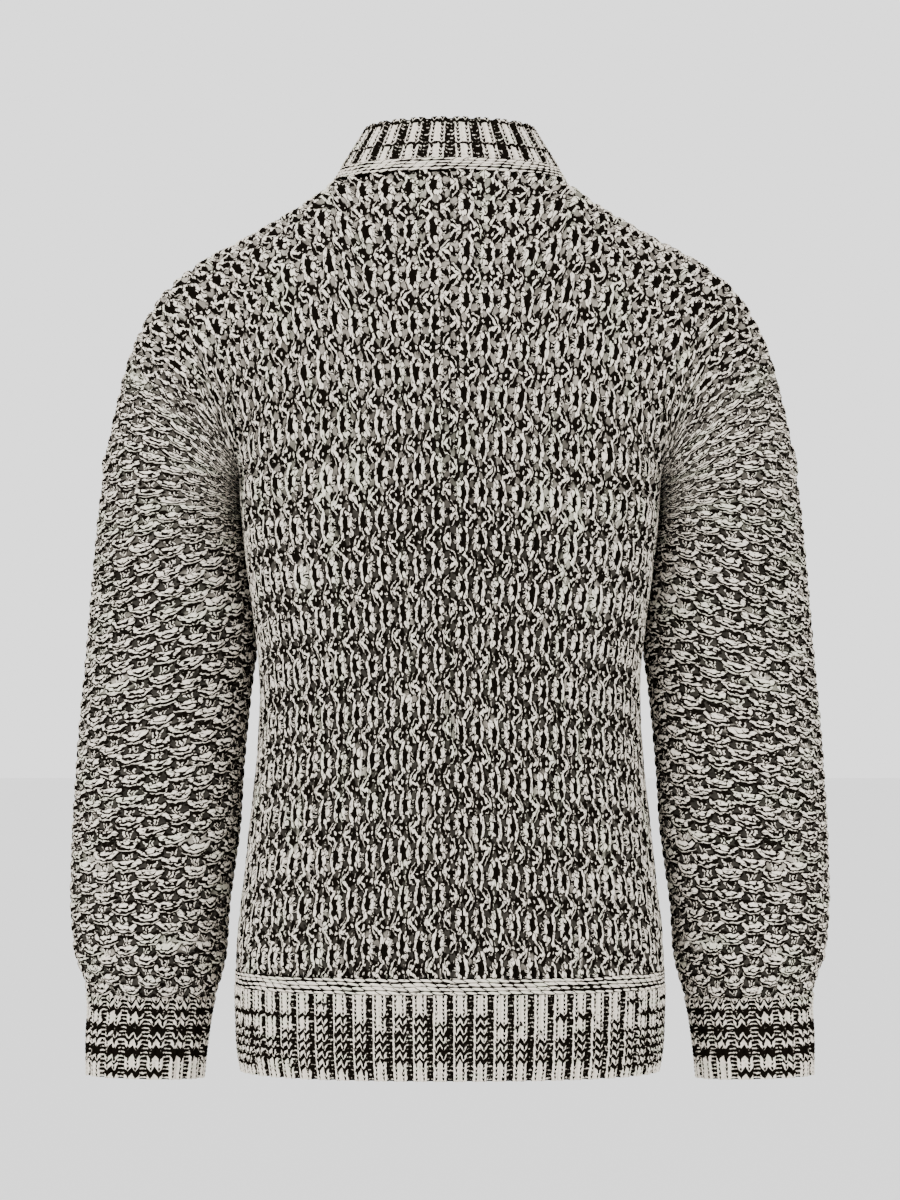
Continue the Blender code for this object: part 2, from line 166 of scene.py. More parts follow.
def bodyOval(angle, z):
    power = 2 / bodyAt(z, "full")
    depth = np.where(np.cos(angle) > 0, bodyAt(z, "back"), bodyAt(z, "front"))
    x = bodyAt(z, "half") * np.sign(np.sin(angle)) * np.abs(np.sin(angle)) ** power
    y = bodyAt(z, "middle") + depth * np.sign(np.cos(angle)) * np.abs(np.cos(angle)) ** power
    return x, y


def evenAngles():
    angle = np.linspace(0, 2 * math.pi, fineSteps + 1)
    x, y = bodyOval(angle, form["evenZ"])
    run = np.concatenate([[0], np.cumsum(np.hypot(np.diff(x), np.diff(y)))])
    return run / run[-1], angle


roundShare, roundAngle = evenAngles()


def bodyRound(share, z):
    return bodyOval(np.interp(share, roundShare, roundAngle), z)


def creaseDepth(x, z):  # how far the fold beside the sleeve has sunk in, 0 to 1
    share = np.clip((z - form["armpitZ"]) / (form["creaseTopZ"] - form["armpitZ"]), 0, 1)
    aside = ease(np.abs(x - form["creaseX"]) / form["creaseFade"])
    return 1 - (1 - aside) * np.sin(math.pi / 2 * np.sqrt(share)) - aside * ease(share)


def ovalDepth(offset, full, power):
    return np.clip(1 - np.abs(np.clip(offset, -1, 1)) ** full, 0, 1) ** power


def depthAt(x, z, side):
    stand = bodyAt(z, side)
    full = bodyAt(z, "full")
    whole = stand * ovalDepth(x / bodyAt(z, "reach"), full, 1 / full)
    sunk = creaseDepth(x, z)
    soft = form["creaseSoftness"] * (1 - sunk)
    below = np.minimum(z, form["armpitZ"])
    inner = sleeveAt(below, "inner")
    outer = np.where(z > form["armpitZ"], bodyAt(z, "reach"), sleeveAt(z, "outer"))
    body = stand * ovalDepth(x / bodyAt(form["armpitZ"], "half"), full, 1 / full + soft)
    across = (2 * x - inner - outer) / (outer - inner)
    curve = sleeveAt(below, "full")
    sleeve = sleeveAt(below, "depth") * ovalDepth(across, curve, 1 / curve + soft * (across < 0))
    return (1 - sunk) * whole + sunk * np.where(x < inner, body, sleeve)


def shoulderZ(x):
    z = np.linspace(form["armpitZ"], bodyTable["z"][-1], fineSteps + 1)
    return np.interp(x, bodyAt(z, "reach")[::-1], z[::-1])


neckHalfWidth = float(bodyAt(form["neckSideZ"], "reach"))
shoulderSeamX = float(bodyAt(ringTable["outer"][0], "reach"))


def neckZ(x, side):
    middle = form["neckBackZ"] if side == "back" else form["neckFrontZ"]
    return middle + (form["neckSideZ"] - middle) * np.clip(x / neckHalfWidth, 0, 1) ** 2


def panelPoint(u, v, side):  # u from the centre to the side, v 0 to 1 below the armpit and to 2 over it
    share = u / 4 if side == "back" else 0.5 - u / 4
    low = form["hemSeamZ"] + (form["armpitZ"] - form["hemSeamZ"]) * np.clip(v, 0, 1)
    x, y = bodyRound(share, low)
    topX = u * shoulderSeamX
    topZ = np.where(topX < neckHalfWidth, neckZ(topX, side), shoulderZ(topX))
    climb = (1 - np.cos(math.pi * np.clip(v - 1, 0, 1))) / 2
    highX = x + (topX - x) * climb
    highZ = form["armpitZ"] + (topZ - form["armpitZ"]) * climb
    highY = depthAt(highX, highZ, side) * (1 if side == "back" else -1)
    high = np.stack([highX, highY, highZ], -1)
    return np.where((v > 1)[..., None], high, np.stack([x, y, low], -1))


def ringPoint(outerZ, innerZ, around):
    angle = 2 * math.pi * around
    innerX = sleeveAt(innerZ, "inner")
    outerX = np.where(outerZ > form["armpitZ"], bodyAt(outerZ, "reach"), sleeveAt(outerZ, "outer"))
    across = (1 - np.cos(angle)) / 2
    x = innerX + (outerX - innerX) * across
    z = innerZ + (outerZ - innerZ) * across
    back = np.sin(angle) >= 0
    depth = np.where(back, depthAt(x, z, "back"), depthAt(x, z, "front"))
    middle = sleeveAt(np.minimum(z, form["armpitZ"]), "middle")
    return np.stack([x, middle + np.where(back, depth, -depth), z], -1)


def sleevePoint(outerZ, around):
    return ringPoint(outerZ, np.interp(-outerZ, -ringTable["outer"], ringTable["inner"]), around)


def cuffPoint(along, around):
    outerZ = cuffTop[0] + (cuffEdge[0] - cuffTop[0]) * along
    innerZ = cuffTop[1] + (cuffEdge[1] - cuffTop[1]) * along
    return ringPoint(outerZ, innerZ, around)


def hemPoint(along, around):
    z = form["hemSeamZ"] + (form["hemEdgeZ"] - form["hemSeamZ"]) * along
    x, y = bodyRound(around % 1, z)
    return np.stack([x, y, z + 0 * around], -1)


def neckPoint(around):
    angle = 2 * math.pi * around
    x = neckHalfWidth * np.sin(angle)
    back = np.cos(angle) >= 0
    z = np.where(back, neckZ(np.abs(x), "back"), neckZ(np.abs(x), "front"))
    y = np.where(back, depthAt(np.abs(x), z, "back"), -depthAt(np.abs(x), z, "front"))
    return np.stack([x, y, z], -1)


def collarPoint(along, around):
    angle = 2 * math.pi * around
    stand = np.where(np.cos(angle) >= 0, form["collarTopBack"], form["collarTopFront"])
    level = (1 + np.cos(angle)) / 2
    topZ = form["collarTopFrontZ"] + (form["collarTopBackZ"] - form["collarTopFrontZ"]) * level
    top = np.stack([form["collarTopHalfWidth"] * np.sin(angle), stand * np.cos(angle), topZ], -1)
    return neckPoint(around) + (top - neckPoint(around)) * np.asarray(along)[..., None]


# formulas that the meshes and the shaders share: each works on arrays and on node sockets
class Field:
    # a node socket's value, times a scale, plus an offset: plain numbers take no nodes of their own
    tree = None

    def __init__(self, output, scale=1.0, offset=0.0):
        self.output, self.scale, self.offset = output, scale, offset

    @property
    def socket(self):
        if (self.scale, self.offset) != (1, 0):
            whole = mathField("MULTIPLY_ADD", Field(self.output), self.scale, self.offset)
            self.output, self.scale, self.offset = whole.output, 1.0, 0.0
        return self.output

    def __add__(self, other):
        if not isinstance(other, Field):
            return Field(self.output, self.scale, self.offset + other)
        whole = mathField("MULTIPLY_ADD", Field(other.output), other.scale / self.scale, Field(self.output))
        return Field(whole.output, self.scale, self.offset + other.offset)

    def __mul__(self, other):
        if not isinstance(other, Field):
            return Field(self.output, self.scale * other, self.offset * other)
        if self.offset == other.offset == 0:
            product = mathField("MULTIPLY", Field(self.output), Field(other.output))
            return Field(product.output, self.scale * other.scale)
        return mathField("MULTIPLY", self, other)

    def __sub__(self, other):
        return self + other * -1

    def __rsub__(self, other):
        return self * -1 + other

    def __truediv__(self, other):
        return mathField("DIVIDE", self, other) if isinstance(other, Field) else self * (1 / other)

    __radd__ = __add__
    __rmul__ = __mul__


def mathField(operation, *values):
    node = Field.tree.nodes.new("ShaderNodeMath")
    node.operation = operation
    for socket, value in zip(node.inputs, values):
        if isinstance(value, Field):
            Field.tree.links.new(value.socket, socket)
        else:
            socket.default_value = float(value)
    return Field(node.outputs[0])


def floorOf(a):
    return mathField("FLOOR", a) if isinstance(a, Field) else np.floor(a)


def moduloOf(a, b):
    return mathField("FLOORED_MODULO", a, b) if isinstance(a, Field) else np.mod(a, b)


def sizeOf(a):
    return mathField("ABSOLUTE", a) if isinstance(a, Field) else np.abs(a)


def largerOf(a, b):
    return mathField("MAXIMUM", a, b) if isinstance(a, Field) else np.maximum(a, b)


def smallerOf(a, b):
    return mathField("MINIMUM", a, b) if isinstance(a, Field) else np.minimum(a, b)


def rootOf(a):
    return mathField("SQRT", a) if isinstance(a, Field) else np.sqrt(a)


def sineOf(a):
    return mathField("SINE", a) if isinstance(a, Field) else np.sin(a)


def held(a):  # between 0 and 1
    if not isinstance(a, Field):
        return np.clip(a, 0, 1)
    clamp = Field.tree.nodes.new("ShaderNodeClamp")
    Field.tree.links.new(a.socket, clamp.inputs["Value"])
    return Field(clamp.outputs["Result"])


def hump(a, low, high):  # a round strand between low and high
    middle, half = (low + high) / 2, (high - low) / 2
    off = (a - middle) / half
    return rootOf(largerOf(1 - off * off, 0))


def band(a, middle, half, soft=0.12):  # 1 within half of the middle
    return held((half - sizeOf(a - middle)) / soft + 0.5)


def oval(a, b):
    return held((1 - a * a - b * b) * 1.6 + 0.5)


# how bright a strand must be to show its cream, and how crisp its edge is
levels = {"knit": 0.70, "rib": 0.52, "cord": 0.45, "crispness": 3.5}


def creamOf(bright):
    return held(bright * levels["crispness"] + 0.5)


# the sleeve's stitch: blocks of floats in half drop, with a fan of strands over each
tuckCell = {
    "bulge": 0.26,
    "blockTop": 1.24,
    "blockHalfWidth": 1.34,
    "fanFoot": 0.20,
    "fanSpread": 0.42,
}


def tuckPlaces(s, r):  # s counts stitch columns along a ridge, r counts ridges away from the cuff
    column = floorOf(s)
    aside = sizeOf((s - column) * 2 - 1)
    upward = moduloOf(r + column, 2)
    own = moduloOf(upward - tuckCell["bulge"] * aside * aside, 2)
    beyond = 2 - aside
    other = moduloOf(upward + 1 - tuckCell["bulge"] * beyond * beyond, 2)
    return aside, own, beyond, other


def blockMask(aside, up):  # how far inside a stitch's block of floats, over 0 within it
    middle = tuckCell["blockTop"] / 2
    off = (up - middle) / (middle + 0.02)
    wide = aside / tuckCell["blockHalfWidth"]
    return 1 - off * off - wide * wide * wide * wide


def fanPlaces(aside, own):
    climb = held((own - 1.16) * 1.3)
    spread = aside / (tuckCell["fanFoot"] + tuckCell["fanSpread"] * climb)
    return climb, spread, held((own - 1.2) * 10) * held((1.2 - spread) * 5)


def sleeveForm(s, r):  # the mesh's relief: round blocks, low fans and the flats between them
    aside, own, beyond, other = tuckPlaces(s, r)
    block = largerOf(blockMask(aside, own), blockMask(beyond, other))
    climb, spread, inFan = fanPlaces(aside, own)
    return largerOf(rootOf(held(block * 1.15)), inFan * (0.5 - 0.25 * climb))


def sleeveStrands(s, r):  # the light strands, and the flats where none lies
    aside, own, beyond, other = tuckPlaces(s, r)
    total, blocks = 0, 0
    for off, up in ((aside, own), (beyond, other)):
        square = off * off
        lens = band(up, 0.98, 0.20 * held(1.1 - square * 2.3))
        lobe = oval((off - 0.88) / 0.30, (up - 0.74) / 0.25)
        smile = band(up, 0.52 + 0.16 * square, 0.11) * held((1.05 - off) * 5)
        strands = largerOf(largerOf(lens, lobe), largerOf(smile, band(up, 0.15, 0.095)))
        inside = held(blockMask(off, up) * 6)
        total = largerOf(strands * inside, total)
        blocks = largerOf(inside, blocks)
    climb, spread, inFan = fanPlaces(aside, own)
    fan = largerOf(band(spread, 0.0, 0.20, 0.2), band(spread, 0.78, 0.22, 0.2)) * held((1.9 - own) * 5)
    return largerOf(total, fan * inFan), (1 - blocks) * (1 - inFan)


# the body's stitch, two ridges wide and two stitches high
bodyCell = {
    "lensAt": 0.90,
    "waveAt": 0.66,
    "waveBulge": 0.33,
    "hookBulge": 1.02,
    "arcAt": 1.12,
    "arcBulge": 0.73,
    "wales": 3,
}
# its round strand ends: where each lies across and along a ridge, then half its size each way
bodyEnds = (
    (0.24, 0.37, 0.23, 0.12),
    (0.08, 0.53, 0.16, 0.07),
    (-0.12, 0.33, 0.13, 0.12),
    (0.91, 1.00, 0.12, 0.08),
    (0.34, 0.98, 0.14, 0.05),
)
bodyFlats = (  # the flat places between strands, in the same way
    (-0.58, 0.33, 0.30, 0.15),
    (0.33, 0.69, 0.27, 0.15),
)


def bodyPlaces(s, r):
    # two looks take turns along a ridge: a lens where aside is 0, a hook where it is 1
    aside = sizeOf(moduloOf(s, 2) - 1)
    beside = moduloOf(0 - r - bodyCell["lensAt"] + 1, 2) - 1
    first = held(1 - aside * 1.7)
    hook = held(aside * 2.5 - 1.5)
    wave = bodyCell["waveAt"] + bodyCell["waveBulge"] * first * (2 - first) + bodyCell["hookBulge"] * hook
    return aside, beside, wave, hook


def apart(a, b):  # how far apart two places are in a round of 2
    return sizeOf(moduloOf(a - b + 1, 2) - 1)


def bodyForm(s, r):
    aside, beside, wave, hook = bodyPlaces(s, r)
    fromWave = apart(beside, wave) / 0.42
    fromLens = (beside - 0.3 * held(aside * 2)) / 0.42
    chain = rootOf(held(1 - fromLens * fromLens)) * held((0.62 - aside) * 5)
    return largerOf(rootOf(held(1 - fromWave * fromWave)), chain)


def ovalAt(beside, aside, row):
    across, along, halfAcross, halfAlong = row
    return oval((beside - across) / halfAcross, (aside - along) / halfAlong)


def bodyStrands(s, r):  # the light strands, and the flats where none lies
    aside, beside, wave, hook = bodyPlaces(s, r)
    fold = held((1 - aside) / 0.55)
    arc = bodyCell["arcAt"] + bodyCell["arcBulge"] * (1 - fold * fold)
    arc = band(apart(beside, arc), 0, 0.10) * held((aside - 0.46) * 20)
    lens = band(beside, 0, 0.25 * held(1.15 - aside * aside * 16))
    spokes = largerOf(band(aside, 0.085, 0.022, 0.02), band(aside, 0.17, 0.025, 0.02))
    total = largerOf(band(apart(beside, wave), 0, 0.18 + 0.09 * hook), largerOf(arc, lens))
    total = largerOf(total, spokes * band(beside, -0.33, 0.20))
    total = largerOf(total, band(beside, 0.22, 0.06) * band(aside, 0.78, 0.10, 0.05))
    for row in bodyEnds:
        total = largerOf(total, ovalAt(beside, aside, row))
    flat = largerOf(*[ovalAt(beside, aside, row) for row in bodyFlats])
    # a dark gap crosses the strands at each wale, leaning both ways from the lens
    gap = band(moduloOf(s * bodyCell["wales"] + sizeOf(beside) * 0.8, 1), 0.5, 0.06, 0.2)
    return total * (1 - 0.5 * gap), flat * (1 - total)


def tuckLook(s, r, fuzz, plain, paintedRecessShade, body):
    # how light the knit is at a place, and how high its strands stand there
    sleeveTotal, sleeveFlat = sleeveStrands(s, r)
    bodyTotal, bodyFlat = bodyStrands(s, r)
    raised = sleeveTotal * (1 - body) + bodyTotal * body
    flat = sleeveFlat * (1 - body) + bodyFlat * body
    light = creamOf(raised - levels["knit"] + 0.3 * plain + fuzz)
    # the flats between the strands take painted shade in place of the yarn, no darker than half the plain
    # yarn's share
    light = light * (1 - flat) + flat * largerOf(paintedRecessShade, 0.5 * plain)
    return light, raised


ribCell = {"waleAt": 0.18, "waleHalf": 0.17, "slope": 1.15}  # a rib is two wales of slanting legs


def ribPlaces(s, r):  # s counts ribs, r counts courses
    place = moduloOf(s, 1)
    fromMiddle = sizeOf(place - 0.5)
    aside = sizeOf((fromMiddle - ribCell["waleAt"]) / ribCell["waleHalf"])
    return place, fromMiddle, aside, r - ribCell["slope"] * smallerOf(aside, 1)


def ribForm(s, r):
    place, fromMiddle, aside, course = ribPlaces(s, r)
    leg = hump(aside, -0.1, 1.1)
    stitch = 0.82 + 0.18 * sineOf(moduloOf(course, 1) * math.pi)
    rung = 0.12 * sineOf(moduloOf(r, 1) * math.pi)
    return largerOf(held((1.1 - aside) * 2.5) * (0.55 + 0.45 * leg) * stitch, rung)


def ribLook(s, r, fuzz, zigzags, edge, lastLeg, rungs, dots):
    # how light the ribbing is at a place; each zigzag is a course, half its width and how much of it is there
    place, fromMiddle, aside, course = ribPlaces(s, r)
    rib = held((edge - fromMiddle) * 30 + 0.5)
    dark = band(fromMiddle, ribCell["waleAt"], dots, 0.03) * band(moduloOf(course, 1), 0.5, 0.36, 0.2)
    for at, half, there in zigzags:
        dark = largerOf(dark, band(course, at, half, 0.2) * held((1 - lastLeg - place) * 14) * there)
    rung = band(moduloOf(r, 1), 0.5, 0.15, 0.2)
    # past the rib's edge the colour is painted shade, black but for the light rungs
    light = rib * (1 - dark) + (1 - rib) * rung * rungs
    raised = rib * (0.5 + 0.5 * hump(aside, 0.1, 1.1)) * (1 - dark * 0.3)
    return creamOf(light - levels["rib"] + fuzz), raised


cordCell = {"slant": 0.7, "offset": 0.37}


def cordPlaces(s, r):  # s counts chain stitches, r counts cords from the seam's start
    cord = moduloOf(r, 1)
    return cord, moduloOf(s + cordCell["slant"] * cord + cordCell["offset"] * floorOf(r), 1)


def cordForm(s, r):
    cord, lean = cordPlaces(s, r)
    return hump(cord, -0.08, 1.08) * (0.7 + 0.3 * hump(lean, -0.1, 1.1))


def cordLook(s, r, fuzz, thick):
    cord, lean = cordPlaces(s, r)
    fromEdge = smallerOf(cord, 1 - cord)
    pinch = sizeOf(2 * lean - 1)
    dark = band(fromEdge, 0, thick * (0.6 + 0.9 * pinch * pinch), 0.08)
    dark = largerOf(dark, band(smallerOf(lean, 1 - lean), 0, 0.07, 0.06) * held(fromEdge * 5))
    return creamOf(1 - dark - levels["cord"] + fuzz), hump(cord, 0, 1) * hump(lean, 0, 1)


def wander(a, b, seed, size=1.0):  # a slow, even unsteadiness of hand
    random = np.random.default_rng(seed)
    waves = 5
    total = 0 * a
    for _ in range(waves):
        alongA = random.uniform(0.5, 2.2) / size
        alongB = random.uniform(0.5, 2.2) / size
        phase = random.uniform(0, 6.28)
        total = total + np.sin(a * alongA + b * alongB * random.choice([-1, 1]) + phase)
    return total / waves


def outwardOf(points, ring):
    if ring:
        wrapped = np.concatenate([points[:, -2:-1], points, points[:, 1:2]], axis=1)
        around = wrapped[:, 2:] - wrapped[:, :-2]
    else:
        around = np.gradient(points, axis=1)
    out = np.cross(around, np.gradient(points, axis=0))
    return out / np.maximum(np.linalg.norm(out, axis=-1, keepdims=True), 1e-12)


innerStride = 5  # the inner face has one step for so many outer ones


def shell(name, outer, inner, plan, ring, material):
    # a closed thin wall from a fine outer grid and a coarse inner one; a ring's last column meets its first
    rows, columns = outer.shape[0] - 1, outer.shape[1] - 1
    wide = columns if ring else columns + 1
    outer = outer[:, :wide]
    coarseRows, coarseColumns = rows // innerStride, columns // innerStride
    innerWide = coarseColumns if ring else coarseColumns + 1
    inner = inner[::innerStride, ::innerStride][:, :innerWide]
    coarse = plan[::innerStride, ::innerStride]
    base = outer.shape[0] * wide

    def out(i, j):
        return i * wide + (j % wide if ring else j)

    def back(i, j):
        return base + i * innerWide + (j % innerWide if ring else j)

    i, j = np.meshgrid(np.arange(rows), np.arange(columns), indexing="ij")
    faces = np.stack([out(i, j), out(i, j + 1), out(i + 1, j + 1), out(i + 1, j)], -1)
    places = np.stack([plan[:-1, :-1], plan[:-1, 1:], plan[1:, 1:], plan[1:, :-1]], -2)
    i, j = np.meshgrid(np.arange(coarseRows), np.arange(coarseColumns), indexing="ij")
    inside = np.stack([back(i, j), back(i + 1, j), back(i + 1, j + 1), back(i, j + 1)], -1)
    insidePlaces = np.stack([coarse[:-1, :-1], coarse[1:, :-1], coarse[1:, 1:], coarse[:-1, 1:]], -2)
    allFaces = faces.reshape(-1, 4).tolist() + inside.reshape(-1, 4).tolist()
    allPlaces = [places.reshape(-1, 2), insidePlaces.reshape(-1, 2)]

    def close(fine, behind, flip):  # one face of the rim, over a few fine steps and a coarse one
        run = [out(*spot) for spot in fine] + [back(*spot) for spot in behind]
        spots = [plan[spot] for spot in fine] + [coarse[spot] for spot in behind]
        allFaces.append(run[::-1] if flip else run)
        allPlaces.append(np.array(spots[::-1] if flip else spots))

    for edge, coarseEdge, flip in ((0, 0, True), (rows, coarseRows, False)):
        for j in range(coarseColumns):
            fine = [(edge, j * innerStride + k) for k in range(innerStride + 1)]
            close(fine, [(coarseEdge, j + 1), (coarseEdge, j)], flip)
    if not ring:
        for edge, coarseEdge, flip in ((0, 0, False), (columns, coarseColumns, True)):
            for i in range(coarseRows):
                fine = [(i * innerStride + k, edge) for k in range(innerStride + 1)]
                close(fine, [(i + 1, coarseEdge), (i, coarseEdge)], flip)
    mesh = bpy.data.meshes.new(name)
    corners = np.concatenate([outer.reshape(-1, 3), inner.reshape(-1, 3)])
    mesh.from_pydata(corners.tolist(), [], allFaces)
    layer = mesh.uv_layers.new(name="knitPlan")
    layer.data.foreach_set("uv", np.concatenate(allPlaces).astype(np.float32).ravel())
    mesh.shade_smooth()
    mesh.materials.append(material)
    piece = bpy.data.objects.new(name, mesh)
    bpy.context.collection.objects.link(piece)
    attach(piece, "root")
    return piece


def declare(nodes):
    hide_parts(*nodes)


def mirrored(points):
    return points * np.array([-1.0, 1.0, 1.0])


def calmed(lengths, reach):  # smoothed over the rows; the first row is a mirror line and the last one is kept
    before = lengths[reach:0:-1]
    after = 2 * lengths[-1] - lengths[-2 : -reach - 2 : -1]
    weights = np.hanning(2 * reach + 3)[1:-1]
    return np.convolve(np.concatenate([before, lengths, after]), weights / weights.sum(), "valid")


def arcResample(curves, count, reach=0):  # each row's curve, at even steps along it
    run = np.linalg.norm(np.diff(curves, axis=1), axis=-1).cumsum(axis=1)
    run = np.concatenate([np.zeros((len(run), 1)), run], axis=1)
    whole = run[:, -1:]
    calm = calmed(run[:, -1], reach)[:, None] if reach else whole
    even = np.linspace(0, 1, count + 1)
    at = even * (calm + (whole - calm) * even**3)
    return np.stack([
        np.stack([np.interp(place, r, curve[:, k]) for k in range(3)], -1)
        for place, r, curve in zip(at, run, curves)
    ])


def pitchScale(points, rowPitch, columnPitch):  # relief is lower where the stitches are squeezed
    down = np.linalg.norm(np.gradient(points, axis=0), axis=-1) / rowPitch
    along = np.linalg.norm(np.gradient(points, axis=1), axis=-1) / columnPitch
    return np.clip(down, 0.25, 1.1) * np.clip(along, 0.5, 1)


halves = {
    "bodyRidges": 34,
    "sleeveRidges": 69,
    "underarmRidges": 60,  # the rest end at the armhole line and fan out over the shoulder
    "bodyFrom": 58,  # the ridge where the sleeve's stitch starts to turn into the body's
    "turnRidges": 6,  # and over how many ridges it turns
    "moreColumns": 0.18,  # the body's stitches are this much shorter than the sleeve's
    "shortenRidges": 10,  # and they shorten over this many ridges
    "columnsBelowArmpit": 18,
    "columnsOverArmpit": 11,
    "calmRidges": 4,  # the neck's corner is evened out over this many ridges to each side
    "stepsPerRidge": 5,
    "stepsPerColumn": 10,
    "ridgePitch": 0.0070,  # the relief is full where the ridges and the stitches are this far apart
    "columnPitch": 0.0140,
    "relief": 0.0032,
    "sunk": 0.0012,
    "wall": 0.0030,
    "climb": 0.037,  # how much of a stitch the rows climb with each ridge towards the middle
    "unevenness": 0.13,
    "seeds": {"left": 3, "right": 11},
    "flat": {"back": (0.24, 0.62), "front": (0.24, 0.62), "sleeve": (0.42, 0.56)},
}
fineAround, fineUp = 640, 320  # steps of the curves that the grids are taken from


def unsteady(s, r, seed):
    return np.stack([
        s + halves["unevenness"] * 1.4 * wander(s, r, seed),
        r + halves["unevenness"] * wander(s, r, seed + 1, 1.6),
    ], -1)


def fanRidges(s):  # how many more ridges lie over the shoulder than under the arm
    more = halves["sleeveRidges"] - halves["underarmRidges"]
    return more * (1 - np.cos(math.pi * np.maximum(s, 0) / halves["columnsOverArmpit"])) / 2


def ridgeGrid(side):
    # a panel's points, a row along each ridge from the side to the middle, each from the hem up
    steps, perColumn = halves["stepsPerRidge"], halves["stepsPerColumn"]
    share = np.linspace(0, 1, halves["bodyRidges"] * steps + 1)
    heights = np.linspace(0, 1, halves["columnsBelowArmpit"] * perColumn + 1)
    lowV, lowU = np.meshgrid(heights, np.linspace(0, 1, fineAround + 1), indexing="ij")
    rounds = panelPoint(lowU, lowV, side)
    low = arcResample(rounds, len(share) - 1).transpose(1, 0, 2)
    run = np.linalg.norm(np.diff(rounds[-1], axis=0), axis=-1).cumsum()
    atArmpit = np.interp(share, np.concatenate([[0], run]) / run[-1], lowU[-1])
    start, highV = np.meshgrid(atArmpit, np.linspace(1, 2, fineUp + 1), indexing="ij")
    highU = start + (share[:, None] - start) * ease(highV - 1)
    columns = halves["columnsOverArmpit"] * perColumn
    high = arcResample(panelPoint(highU, highV, side), columns, halves["calmRidges"] * steps)
    return np.concatenate([low[:, :-1], high], axis=1)[::-1]


def panelPlan(side):  # a body panel's points, and the stitch and the ridge that each lies on
    points = ridgeGrid(side)
    ridges = np.arange(points.shape[0]) / halves["stepsPerRidge"]
    columns = np.arange(points.shape[1]) / halves["stepsPerColumn"] - halves["columnsBelowArmpit"]
    inward, s = np.meshgrid(ridges, columns, indexing="ij")
    r = halves["underarmRidges"] + inward + fanRidges(s) * (1 - inward / halves["bodyRidges"])
    shorter = 1 + halves["moreColumns"] * ease(inward / halves["shortenRidges"])
    s = s * shorter
    if side == "front":
        s = 2 * halves["columnsOverArmpit"] * shorter - s
    return points, s - halves["climb"] * inward, r


def sleevePlan():  # the same for the sleeve, in rings from the cuff up
    columns = halves["columnsOverArmpit"] * halves["stepsPerColumn"]
    rings = halves["sleeveRidges"] * halves["stepsPerRidge"]
    outerZ = np.linspace(ringTable["outer"][-1], ringTable["outer"][0], rings + 1)
    fineZ, around = np.meshgrid(outerZ, np.linspace(0, 1, fineAround + 1), indexing="ij")
    fine = sleevePoint(fineZ, around)
    half = fineAround // 2
    back = arcResample(fine[:, : half + 1], columns)
    front = arcResample(fine[:, half:], columns)
    points = np.concatenate([back[:, :-1], front], axis=1)
    stitches = np.linspace(0, 2 * halves["columnsOverArmpit"], points.shape[1])
    share, s = np.meshgrid(np.linspace(0, 1, points.shape[0]), stitches, indexing="ij")
    return points, s, share * (halves["underarmRidges"] + fanRidges(s))


def knitPiece(part, hand, material):
    # rows run from the cuff to the middle, columns along each ridge
    right = hand == "right"
    seed = halves["seeds"][hand]
    shift = 1 if right else 0  # the two halves are a stitch out of step
    points, s, r = sleevePlan() if part == "sleeve" else panelPlan(part)
    s = s + shift
    plan = unsteady(s, r, seed)
    if part == "sleeve":  # the ring's last stitches run into its first ones
        whole = 2.0 * halves["columnsOverArmpit"]
        close = ease((s - shift - whole + 2) / 2)[..., None]
        start = unsteady(s - whole, r, seed) + np.array([whole, 0])
        plan = plan * (1 - close) + start * close
    onBody = held((plan[..., 1] - halves["bodyFrom"]) / halves["turnRidges"])
    knit = sleeveForm(plan[..., 0], plan[..., 1]) * (1 - onBody)
    knit = knit + bodyForm(plan[..., 0], plan[..., 1]) * onBody
    rowPitch = halves["ridgePitch"] / halves["stepsPerRidge"]
    scale = pitchScale(points, rowPitch, halves["columnPitch"] / halves["stepsPerColumn"])
    relief = halves["relief"] * knit * scale
    out = outwardOf(points, part == "sleeve") * (1 if part == "front" else -1)
    outer = points + out * (relief - halves["sunk"] * scale)[..., None]
    inner = points - out * halves["wall"]
    if right:
        outer, inner = mirrored(outer), mirrored(inner)
    if (part == "front") == right:
        outer, inner, plan = outer[:, ::-1], inner[:, ::-1], plan[:, ::-1]
    piece = shell(f"knit_{part}_{hand}", outer, inner, plan, part == "sleeve", material)
    nodes = [f"sleeve_back_{hand}", f"sleeve_front_{hand}"] if part == "sleeve" else [f"{part}_{hand}"]
    declare(nodes)


ribs = {
    "relief": 0.0034,
    "sunk": 0.0004,
    "wall": 0.0026,
    "courseHeight": 0.0031,
    "zigzags": 8,
    "darkEvery": 30,  # a patch of darker ribs stands once in so many
    "darkHalf": 7,
    "stepsPerRib": 10,
    "stepsPerCourse": 4,
}
chains = {"rise": 0.0024, "cords": 4, "stepsPerCord": 5, "stepsPerStitch": 5}


def ringGrid(point, start, end, rows, columns):  # points, and how far down and around each lies
    downs = np.linspace(start, end, rows + 1)
    along, around = np.meshgrid(downs, np.linspace(0, 1, columns + 1), indexing="ij")
    points = point(along, around)
    points[:, -1] = points[:, 0]
    return points, (along - start) / (end - start), around


def ringPiece(name, node, points, plan, relief, material, up, right=False):
    # up is for rings that start at the neck's seam, and right for one that is mirrored
    out = outwardOf(points, True) * (-1 if up else 1)
    outer = points + out * relief[..., None]
    inner = points - out * ribs["wall"]
    if right:
        outer, inner = mirrored(outer), mirrored(inner)
    if up != right:
        outer, inner, plan = outer[:, ::-1], inner[:, ::-1], plan[:, ::-1]
    piece = shell(name, outer, inner, plan, True, material)
    declare([node])


def ribPiece(name, node, point, start, end, look, material, up=False, right=False):
    courses = int(round(look["height"] / ribs["courseHeight"]))
    rows = courses * ribs["stepsPerCourse"]
    rows -= rows % innerStride
    points, share, around = ringGrid(point, start, end, rows, look["ribs"] * ribs["stepsPerRib"])
    r = courses * (share if up else 1 - share)
    s = around * look["ribs"]
    relief = ribs["relief"] * ribForm(s, r) - ribs["sunk"]
    ringPiece(name, node, points, np.stack([s, r], -1), relief, material, up, right)


